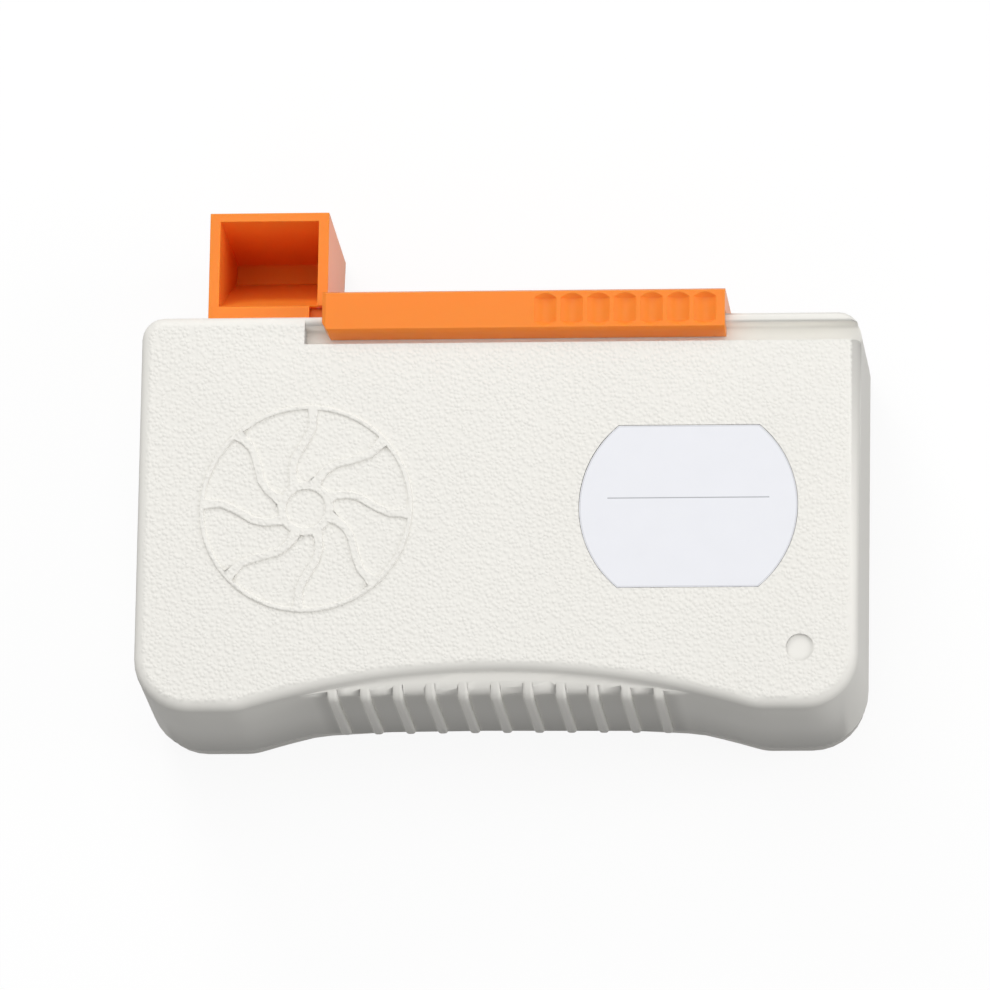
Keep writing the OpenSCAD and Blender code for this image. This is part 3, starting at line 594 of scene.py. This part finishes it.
@dataclass(frozen=True)
class ClothFinish(Finish):
    """Woven tape: warp and weft threads that pass over and under each other, with painted shade
    in the weave's hollows.
    """

    rough_spread: float = 0.1
    darker: float = 0.82
    thread: float = 0.3
    fuzz_roughness: float = 0.7
    fuzz_share: float = 0.3
    sheen: float = 0.3

    def threads(self, graph: Graph) -> Wire:
        """Draw the height of the threads, from 0 to 1, with a weave given in millimetres.

        Args:
            graph: Graph of the material.

        Returns:
            The wire of the height.
        """
        x, _, z = graph.axes()
        turn = math.tau / self.thread
        return graph.math("SINE", x * turn) * graph.math("SINE", z * turn) * 0.5 + 0.5

    def paint(self, graph: Graph) -> None:
        """Build the material's nodes.

        Args:
            graph: Graph of the material.
        """
        threads = self.threads(graph)
        fuzz = graph.noise(self.grain, self.grain_layers, self.fuzz_roughness)
        fluff = fuzz * self.fuzz_share
        woven = 1 - self.fuzz_share
        graph.surface(
            # The colour darkens where the threads dip: painted shade in the hollows, plus random
            # fuzz tone.
            Base_Color=self.tint(graph, (1 - threads) * woven + fluff),
            Roughness=self.roughness + fuzz * self.rough_spread,
            Normal=graph.bump(threads * woven + fluff, self.grain_depth),
            Sheen_Weight=self.sheen,
        )


@dataclass(frozen=True)
class RollFinish(ClothFinish):
    """Edge of a wound roll: one ring for each layer of tape, with painted shade between the
    rings.
    """

    darker: float = 0.8
    fuzz_share: float = 0.2
    sheen: float = 0.2
    middle: tuple[float, float] = (REEL_X, REEL_Y)
    layer: float = 0.4

    def threads(self, graph: Graph) -> Wire:
        """Draw the rings of the layers, from 0 to 1, spaced in millimetres.

        Args:
            graph: Graph of the material.

        Returns:
            The wire of the height.
        """
        x, y, _ = graph.axes()
        over = x - self.middle[0]
        up = y - self.middle[1]
        radius = (over * over + up * up) ** 0.5
        return graph.math("SINE", radius * (math.tau / self.layer)) * 0.5 + 0.5


class Paint(Enum):
    """The finishes of the cassette's pieces."""

    SHELL = ShellFinish("ivory_shell", linear(241, 239, 233), 0.56)
    # The back cover: the shell's ivory painted darker, as painted shade on the low strip that
    # turns in towards the floor.
    COVER = Finish("ivory_shell", linear(188, 185, 178), 0.5, grain_depth=0.01 * MM)
    LABEL = LabelFinish("label_film", linear(230, 231, 236), 0.34)
    ORANGE = GlossFinish("orange_moulding", linear(255, 142, 54), 0.3)
    WHITE = Finish("white_moulding", linear(236, 236, 232), 0.42)
    ACETAL = Finish("acetal_natural", linear(232, 229, 218), 0.36)
    REEL = Finish("reel_plastic", linear(212, 216, 220), 0.33)
    STEEL = SteelFinish("bright_steel", linear(206, 206, 208), 0.28)
    SPRING = SteelFinish("spring_steel", linear(178, 180, 186), 0.34)
    RUBBER = Finish("pad_rubber", linear(56, 58, 61), 0.72, grain_depth=0.015 * MM)
    TAPE = ClothFinish("wiping_cloth", linear(238, 240, 242), 0.75, grain_depth=0.03 * MM)
    FRESH = RollFinish("wiping_cloth", linear(238, 240, 242), 0.75, grain_depth=0.05 * MM)
    USED = RollFinish(
        "wiping_cloth",
        linear(222, 223, 224),
        0.75,
        grain_depth=0.05 * MM,
        middle=(-REEL_X, REEL_Y),
    )
    FELT = Finish("brake_felt", linear(176, 170, 156), 0.9, grain_depth=0.06 * MM)


MATERIALS: dict[Paint, bpy.types.Material] = {}


def painted(paint: Paint) -> bpy.types.Material:
    """Return a finish's material, made when it is first asked for.

    Args:
        paint: The finish.

    Returns:
        Its material.
    """
    if paint not in MATERIALS:
        MATERIALS[paint] = paint.value.material(paint.name.lower())
    return MATERIALS[paint]


Chooser = Callable[[bmesh.types.BMEdge], bool]
Bend = Callable[[Vector, Vector], Vector]
FLAT_ANGLE = math.radians(0.6)
CORNER_ANGLE = math.radians(40)
SHARP_ANGLE = math.radians(50)
JOIN = 0.0005 * MM
WELD = 0.002 * MM
PLAIN_EDGE = 0.12 * MM
FINE_EDGE = 0.08 * MM


def merged(node: str) -> bmesh.types.BMesh:
    """Copy a solid's mesh, with its triangles joined into whole flat faces.

    Args:
        node: Name of the solid.

    Returns:
        The copy.
    """
    mesh = bmesh.new()
    mesh.from_mesh(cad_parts[node].data)
    bmesh.ops.remove_doubles(mesh, verts=mesh.verts, dist=JOIN)
    bmesh.ops.dissolve_limit(
        mesh, angle_limit=FLAT_ANGLE, verts=mesh.verts, edges=mesh.edges, delimit={"NORMAL"}
    )
    return mesh


def is_corner(edge: bmesh.types.BMEdge) -> bool:
    """Tell whether an edge is a corner between two faces."""
    return len(edge.link_faces) == 2 and edge.calc_face_angle() > CORNER_ANGLE


def soften(
    mesh: bmesh.types.BMesh,
    width: float,
    chosen: Chooser = is_corner,
    segments: int = 2,
    clamp: bool = True,
) -> None:
    """Round the chosen edges of a mesh.

    Args:
        mesh: The mesh.
        width: Distance from the edge to where the round begins.
        chosen: Tells which edges are rounded.
        segments: Number of faces across the round.
        clamp: Whether a round is held back where two would meet.
    """
    edges = [edge for edge in mesh.edges if chosen(edge)]
    if edges:
        bmesh.ops.bevel(
            mesh,
            geom=edges,
            offset=width,
            offset_type="OFFSET",
            affect="EDGES",
            segments=segments,
            profile=0.5,
            material=-1,
            clamp_overlap=clamp,
        )


def weigh_normals(piece: bpy.types.Object, bend: Bend | None) -> None:
    """Shade each point by the larger of the faces that meet there.

    Args:
        piece: The piece, with its sharp edges marked.
        bend: Changes a normal, given its point, where a moulded form is rounder than its facets.
    """
    weighted = piece.modifiers.new("weighted", "WEIGHTED_NORMAL")
    weighted.keep_sharp = True
    mesh = piece.evaluated_get(bpy.context.evaluated_depsgraph_get()).data
    normals = [corner.vector.copy() for corner in mesh.corner_normals]
    points = [piece.data.vertices[loop.vertex_index].co for loop in piece.data.loops]
    piece.modifiers.clear()
    if bend:
        normals = [bend(point, normal) for point, normal in zip(points, normals)]
    piece.data.normals_split_custom_set(normals)


def add_piece(
    mesh: bmesh.types.BMesh,
    name: str,
    body: str,
    paint: Paint,
    replaces: Sequence[str] = (),
    bend: Bend | None = None,
) -> bpy.types.Object:
    """Turn a mesh into a finished piece that rides on a body.

    Args:
        mesh: The mesh, which is used up.
        name: Name of the piece.
        body: Body that carries it.
        paint: Its finish.
        replaces: Solids for which it stands.
        bend: Changes the normals of some points.

    Returns:
        The piece.
    """
    bmesh.ops.remove_doubles(mesh, verts=mesh.verts, dist=WELD)
    bmesh.ops.dissolve_degenerate(mesh, edges=mesh.edges, dist=WELD)
    data = bpy.data.meshes.new(name)
    mesh.to_mesh(data)
    mesh.free()
    data.materials.append(painted(paint))
    data.shade_smooth()
    data.set_sharp_from_angle(angle=SHARP_ANGLE)
    piece = bpy.data.objects.new(name, data)
    bpy.context.scene.collection.objects.link(piece)
    weigh_normals(piece, bend)
    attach(piece, body)
    if replaces:
        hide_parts(*replaces)
    LOG.info("%s: %d faces on %s", name, len(data.polygons), body)
    return piece


def dress(node: str, body: str, paint: Paint, edge: float = PLAIN_EDGE) -> bpy.types.Object:
    """Replace a solid by its own mesh with softened edges and a finish.

    Args:
        node: Name of the solid.
        body: Body that carries it.
        paint: Its finish.
        edge: Width of the softened edges.

    Returns:
        The piece.
    """
    mesh = merged(node)
    soften(mesh, edge)
    return add_piece(mesh, f"{node}_dressed", body, paint, [node])


@dataclass
class Housing:
    """Front shell, back cover, label, window frame and screws."""

    body: str = "housing"
    edge: float = 0.25 * MM
    label_edge: float = 0.05 * MM
    frame_edge: float = 0.2 * MM
    rib_edge: float = 0.62 * MM
    rib_pitch: float = RIB_PITCH * MM
    rib_half: float = RIB_HALF * MM
    ribs_aside: int = 5
    grip_y: float = -28 * MM
    wheel_z: float = 35.35 * MM
    wheel_edge: float = 0.33 * MM
    relief_z: float = 34.95 * MM
    relief_end: float = 30 * MM
    round_faces: int = 4
    near: float = 0.01 * MM
    arch_half: float = 34 * MM
    pad_y: float = -28.9 * MM
    wall_facing: tuple[float, float] = (-0.3, 0.6)
    level: float = 0.05
    pad_tilt: tuple[tuple[float, float], ...] = (
        (5.4, -24.0),
        (30.2, 8.0),
        (31.19, 29.0),
        (32.04, 53.0),
        (32.6, 68.0),
    )
    crest_tilt: float = 7.0
    tilt_most: float = 60.0

    def barrel(self, point: Vector, normal: Vector) -> Vector:
        """Round the lower wall and the padded grip, which the solid shows as a few flat bands.

        Args:
            point: Point of the shell.
            normal: Its normal.

        Returns:
            The normal of the rounded wall.
        """
        down, aside = self.wall_facing
        outside = point.y < self.pad_y and normal.y < down and abs(normal.x) < aside
        bands = [(z * MM, math.radians(tilt)) for z, tilt in self.pad_tilt]
        top = bands[-1][0] if abs(point.x) < self.arch_half else bands[1][0]
        if not outside or point.z > top + self.near:
            return normal
        for (low, first), (high, second) in zip(bands, bands[1:]):
            if point.z <= high + self.near:
                break
        share = max(0.0, min(1.0, (point.z - low) / (high - low)))
        tilt = first + (second - first) * share
        on_crest = self.from_rib(point) < self.rib_half - self.near
        if on_crest and abs(normal.z) < self.level:
            tilt = min(tilt + math.radians(self.crest_tilt), math.radians(self.tilt_most))
        flat = Vector((normal.x, normal.y, 0)).normalized()
        return flat * math.cos(tilt) + Vector((0, 0, 1)) * math.sin(tilt)

    def from_rib(self, point: Vector) -> float:
        """Measure how far a point lies from the middle of the nearest rib, along X."""
        rib = max(-self.ribs_aside, min(self.ribs_aside, round(point.x / self.rib_pitch)))
        return abs(point.x - rib * self.rib_pitch)

    def at_flank(self, point: Vector) -> bool:
        """Tell whether a point lies in the plane of a rib's side."""
        off = abs(self.from_rib(point) - self.rib_half)
        return off < self.near and point.y < self.grip_y

    def in_relief(self, point: Vector) -> bool:
        """Tell whether a point belongs to the wheel or another relief of the face."""
        return point.z > self.relief_z and point.y < self.relief_end

    def on_rib(self, edge: bmesh.types.BMEdge) -> bool:
        """Tell whether an edge runs along the crest of a finger rib."""
        ridge = is_corner(edge) and edge.is_convex
        return ridge and all(self.at_flank(vert.co) for vert in edge.verts)

    def on_wheel(self, edge: bmesh.types.BMEdge) -> bool:
        """Tell whether an edge lies on top of the raised wheel."""
        off = [abs(vert.co.z - self.wheel_z) for vert in edge.verts]
        return is_corner(edge) and max(off) < self.near

    def plain_corner(self, edge: bmesh.types.BMEdge) -> bool:
        """Tell whether an edge is a corner away from the face's reliefs and the ribs' sides.

        Args:
            edge: Edge of the shell.

        Returns:
            Whether it gets the plain round.
        """
        points = [vert.co for vert in edge.verts]
        return is_corner(edge) and not (
            all(self.in_relief(point) for point in points)
            or all(self.at_flank(point) for point in points)
        )

    def build(self) -> None:
        """Build the housing's pieces."""
        shell = merged("front_shell")
        soften(shell, self.rib_edge, self.on_rib, self.round_faces, clamp=False)
        soften(shell, self.wheel_edge, self.on_wheel, self.round_faces, clamp=False)
        soften(shell, self.edge, self.plain_corner)
        add_piece(
            shell, "front_shell_dressed", self.body, Paint.SHELL, ["front_shell"], self.barrel
        )
        dress("back_cover", self.body, Paint.COVER, self.edge)
        dress("label_plate", self.body, Paint.LABEL, self.label_edge)
        dress("window_frame", self.body, Paint.WHITE, self.frame_edge)
        dress("case_screws", self.body, Paint.STEEL)


@dataclass
class Shuttle:
    """Thumb slider, shutter hood and rack, which move together."""

    body: str = "shuttle"
    edge: float = 0.22 * MM

    def build(self) -> None:
        """Build the shuttle's pieces."""
        dress("thumb_slider", self.body, Paint.ORANGE, self.edge)
        dress("shutter_hood", self.body, Paint.ORANGE, self.edge)
        dress("slider_rack", self.body, Paint.ACETAL, FINE_EDGE)
        dress("rack_screws", self.body, Paint.STEEL, FINE_EDGE)


@dataclass
class GearTrain:
    """Pinion, and drive gear with its pawl."""

    pinion: str = "pinion_body"
    drive: str = "drive_body"

    def build(self) -> None:
        """Build the gear train's pieces."""
        dress("pinion", self.pinion, Paint.ACETAL, FINE_EDGE)
        dress("drive_gear", self.drive, Paint.ACETAL, FINE_EDGE)
        dress("drive_pawl", self.drive, Paint.ACETAL, FINE_EDGE)


@dataclass
class Reels:
    """Take-up reel with its ratchet, and supply reel."""

    takeup: str = "takeup_reel"
    supply: str = "supply_reel"

    def build(self) -> None:
        """Build the reels' pieces."""
        for side, body, roll in (
            ("takeup", self.takeup, Paint.USED),
            ("supply", self.supply, Paint.FRESH),
        ):
            dress(f"{side}_hub", body, Paint.REEL)
            dress(f"{side}_flange", body, Paint.REEL)
            dress(f"{side}_roll", body, roll)
        dress("ratchet_wheel", self.takeup, Paint.ACETAL, FINE_EDGE)


@dataclass
class TapePath:
    """Tape run with its pad, guide pins, axles, springs and brake."""

    body: str = "housing"
    cut: tuple[float, float] = (14.4 * MM, 129.7 * MM)
    tape_edge: float = 0.03 * MM
    wire_edge: float = 0.06 * MM
    parts: dict[str, Paint] = field(
        default_factory=lambda: {
            "pad_carrier": Paint.WHITE,
            "cleaning_pad": Paint.RUBBER,
            "guide_pins": Paint.STEEL,
            "takeup_axle": Paint.STEEL,
            "supply_axle": Paint.STEEL,
            "pinion_axle": Paint.STEEL,
            "anti_reverse_spring": Paint.ACETAL,
            "brake_washer": Paint.FELT,
        }
    )

    def build(self) -> None:
        """Build the pieces of the tape path."""
        for node, paint in self.parts.items():
            dress(node, self.body, paint)
        tape = dress("cleaning_tape", self.body, Paint.TAPE, self.tape_edge)
        dress("return_spring", self.body, Paint.SPRING, self.wire_edge)


@dataclass(frozen=True)
class Softbox:
    """Square soft light that hangs a metre from the cassette and faces it."""

    name: str
    toward: tuple[float, float, float]
    size: float
    power: float

    def hang(self, target: Vector) -> None:
        """Add the light.

        Args:
            target: Point that the light faces.
        """
        toward = Vector(self.toward)
        data = bpy.data.lights.new(self.name, "AREA")
        data.size, data.energy = self.size, self.power
        light = bpy.data.objects.new(self.name, data)
        light.location = target + toward.normalized()
        light.rotation_mode = "QUATERNION"
        light.rotation_quaternion = toward.to_track_quat("Z", "Y")
        bpy.context.scene.collection.objects.link(light)


@dataclass
class Studio:
    """Camera, soft lights, pale floor and world."""

    target: Vector = field(default_factory=lambda: Vector((-0.33, 2.63, 35.0)) * MM)
    distance: float = 1800 * MM
    pitch: float = math.radians(15.29)
    yaw: float = math.radians(5.31)
    roll: float = math.radians(0.94)
    lens: float = 365.2
    sensor: float = 36.0
    clip: tuple[float, float] = (0.05, 20.0)
    world_light: float = 0.36
    floor_albedo: Colour = (0.12, 0.12, 0.12)
    floor_glow: float = 0.9
    floor_half: float = 6.0
    floor_z: float = -0.05 * MM
    lights: tuple[Softbox, ...] = (
        Softbox("key", (-0.35, 0.85, 0.5), 0.4, 3.8),
        Softbox("overhead", (-0.09, 0.26, 0.96), 0.7, 3.0),
        Softbox("fill", (0.9, 0.0, 0.45), 0.6, 3.6),
        Softbox("front", (-0.1, -0.72, 0.78), 0.6, 1.2),
    )

    def camera(self) -> None:
        """Stand the camera where the photograph was taken."""
        back = Vector(
            (
                math.sin(self.yaw) * math.cos(self.pitch),
                -math.sin(self.pitch),
                math.cos(self.yaw) * math.cos(self.pitch),
            )
        )
        right = Vector((0, 1, 0)).cross(back).normalized()
        up = back.cross(right)
        turn = Matrix.Rotation(self.roll, 3, back)
        right, up = turn @ right, turn @ up
        data = bpy.data.cameras.new("camera")
        data.lens = self.lens
        data.sensor_width = self.sensor
        data.clip_start, data.clip_end = self.clip
        camera = bpy.data.objects.new("camera", data)
        stand = Matrix.Translation(self.target + back * self.distance)
        camera.matrix_world = stand @ Matrix((right, up, back)).transposed().to_4x4()
        bpy.context.scene.collection.objects.link(camera)
        bpy.context.scene.camera = camera

    def floor(self) -> None:
        """Lay the floor, which looks white and keeps a faint shadow."""
        graph = Graph(bpy.data.materials.new("floor"))
        cloth = graph.node("ShaderNodeBsdfDiffuse", values={"Color": self.floor_albedo})
        glow = graph.node("ShaderNodeEmission", values={"Color": (1, 1, 1), "Strength": 1.0})
        shown = graph.node("ShaderNodeBsdfDiffuse", values={"Color": (1, 1, 1)})
        lit = graph.node("ShaderNodeMixShader", values={0: self.floor_glow, 1: shown, 2: glow})
        shares = {0: graph.backdrop_rays(), 1: cloth, 2: lit}
        graph.finish(graph.node("ShaderNodeMixShader", values=shares))
        mesh = bmesh.new()
        bmesh.ops.create_grid(mesh, x_segments=1, y_segments=1, size=self.floor_half)
        bmesh.ops.translate(mesh, verts=mesh.verts, vec=(0, 0, self.floor_z))
        data = bpy.data.meshes.new("floor")
        mesh.to_mesh(data)
        mesh.free()
        data.materials.append(graph.owner)
        floor = bpy.data.objects.new("floor", data)
        bpy.context.scene.collection.objects.link(floor)

    def world(self) -> None:
        """Light the room evenly and show it white."""
        world = bpy.data.worlds.new("room")
        graph = Graph(world)
        strength = graph.node(
            "ShaderNodeMapRange",
            values={"Value": graph.backdrop_rays(), "To Min": self.world_light, "To Max": 1.0},
        )
        light = {"Color": (1, 1, 1), "Strength": strength}
        graph.finish(graph.node("ShaderNodeBackground", values=light), "ShaderNodeOutputWorld")
        bpy.context.scene.world = world

    def build(self) -> None:
        """Set up the studio."""
        bpy.context.scene.view_settings.view_transform = "Standard"
        self.camera()
        self.floor()
        self.world()
        for light in self.lights:
            light.hang(self.target)


def main() -> None:
    """Build the studio and the cassette."""
    logging.basicConfig(level=logging.INFO, format="%(name)s: %(message)s")
    Studio().build()
    for assembly in (Housing(), Shuttle(), GearTrain(), Reels(), TapePath()):
        assembly.build()


if __name__ == "__main__":
    main()
